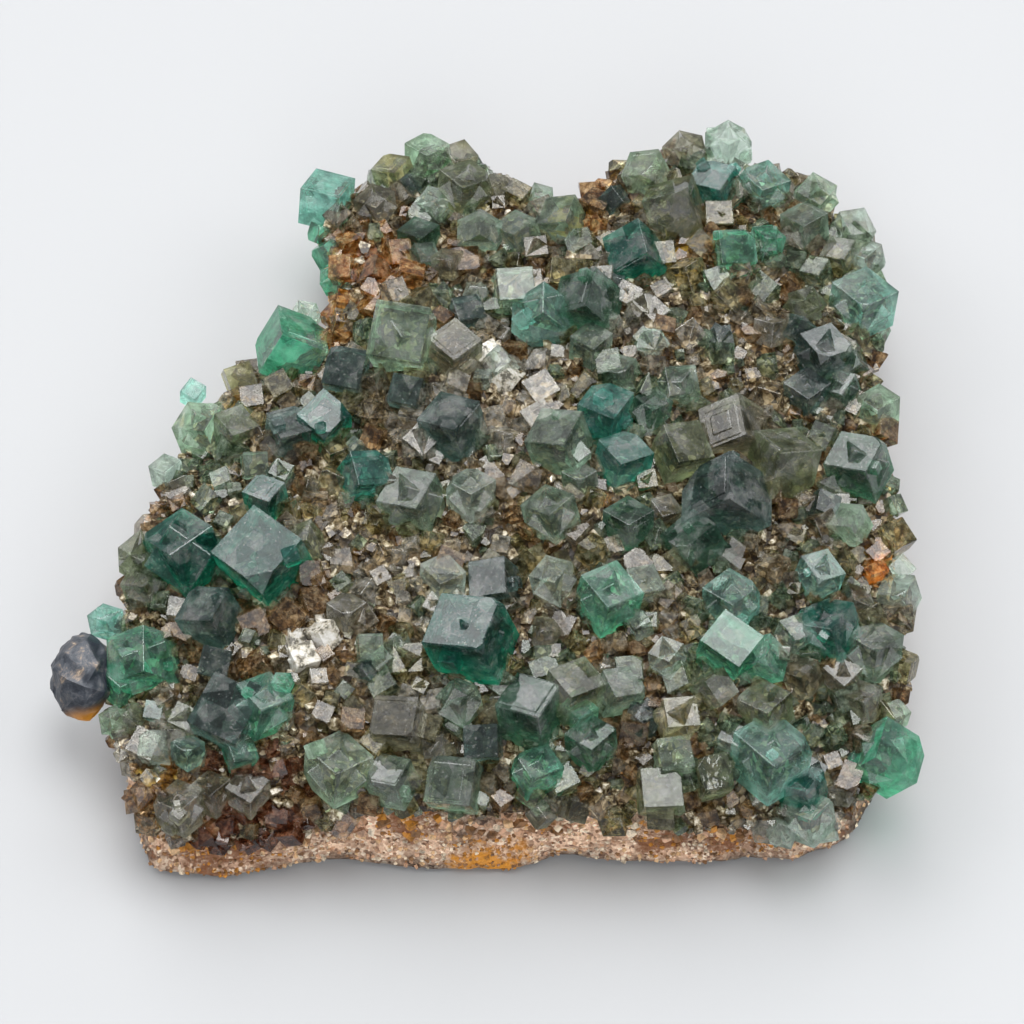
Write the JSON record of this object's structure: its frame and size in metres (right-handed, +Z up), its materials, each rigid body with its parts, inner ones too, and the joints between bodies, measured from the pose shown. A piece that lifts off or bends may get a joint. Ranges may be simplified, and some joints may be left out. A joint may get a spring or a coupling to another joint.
{
  "type": "fluorite specimen",
  "caption": "Cabinet mineral specimen: green twinned fluorite cubes on a druse crust over a flat slab of iron-stained rock, with a galena lump at its edge.",
  "frame": {"origin": "on the flat underside that the slab rests on, under the middle of the specimen's width", "axes": "+X to the right along the specimen's longest side, +Y away from the viewer towards the two rounded lobes, +Z up out of the crystal-covered face"},
  "size_m": [0.1209, 0.1115, 0.029],
  "materials": {
    "crust": "small glassy smoky-green and brownish fluorite crystals, iron stained",
    "fluorite_aqua": "clear to cloudy fluorite with flat glassy faces",
    "fluorite_deep": "clear to cloudy fluorite with flat glassy faces",
    "fluorite_emerald": "clear to cloudy fluorite with flat glassy faces",
    "fluorite_forest": "clear to cloudy fluorite with flat glassy faces",
    "fluorite_ice": "clear to cloudy fluorite with flat glassy faces",
    "fluorite_mint": "clear to cloudy fluorite with flat glassy faces",
    "fluorite_moss": "clear to cloudy fluorite with flat glassy faces",
    "fluorite_sage": "clear to cloudy fluorite with flat glassy faces",
    "fluorite_slate": "clear to cloudy fluorite with flat glassy faces",
    "fluorite_smoky": "clear to cloudy fluorite with flat glassy faces",
    "fluorite_teal": "clear to cloudy fluorite with flat glassy faces",
    "galena": "dark blue-grey metallic lump with pale streaks",
    "rock": "rough granular tan-pink rock with orange-brown iron stains"
  },
  "bodies": {
    "root": {"aqua_cluster_02": "fluorite_aqua", "aqua_crystal_01": "fluorite_aqua", "aqua_crystal_03": "fluorite_aqua", "deep_cluster_01": "fluorite_deep", "deep_cluster_02": "fluorite_deep", "deep_cluster_04": "fluorite_deep", "deep_crystal_03": "fluorite_deep", "druse_crust": "crust", "emerald_crystal_01": "fluorite_emerald", "emerald_crystal_02": "fluorite_emerald", "emerald_crystal_03": "fluorite_emerald", "emerald_crystal_04": "fluorite_emerald", "emerald_crystal_05": "fluorite_emerald", "forest_cluster_01": "fluorite_forest", "forest_cluster_02": "fluorite_forest", "forest_crystal_03": "fluorite_forest", "forest_crystal_04": "fluorite_forest", "forest_crystal_05": "fluorite_forest", "galena_lump": "galena", "ice_crystal_01": "fluorite_ice", "ice_crystal_02": "fluorite_ice", "mint_cluster_01": "fluorite_mint", "mint_cluster_03": "fluorite_mint", "mint_crystal_02": "fluorite_mint", "moss_cluster_04": "fluorite_moss", "moss_crystal_01": "fluorite_moss", "moss_crystal_02": "fluorite_moss", "moss_crystal_03": "fluorite_moss", "rock_matrix": "rock", "sage_cluster_02": "fluorite_sage", "sage_crystal_01": "fluorite_sage", "sage_crystal_03": "fluorite_sage", "sage_crystal_04": "fluorite_sage", "sage_crystal_05": "fluorite_sage", "sage_crystal_06": "fluorite_sage", "slate_cluster_03": "fluorite_slate", "slate_cluster_05": "fluorite_slate", "slate_crystal_01": "fluorite_slate", "slate_crystal_02": "fluorite_slate", "slate_crystal_04": "fluorite_slate", "slate_crystal_06": "fluorite_slate", "smoky_crystal_01": "fluorite_smoky", "smoky_crystal_02": "fluorite_smoky", "teal_crystal_01": "fluorite_teal", "teal_crystal_02": "fluorite_teal"}
  },
  "joints": []
}
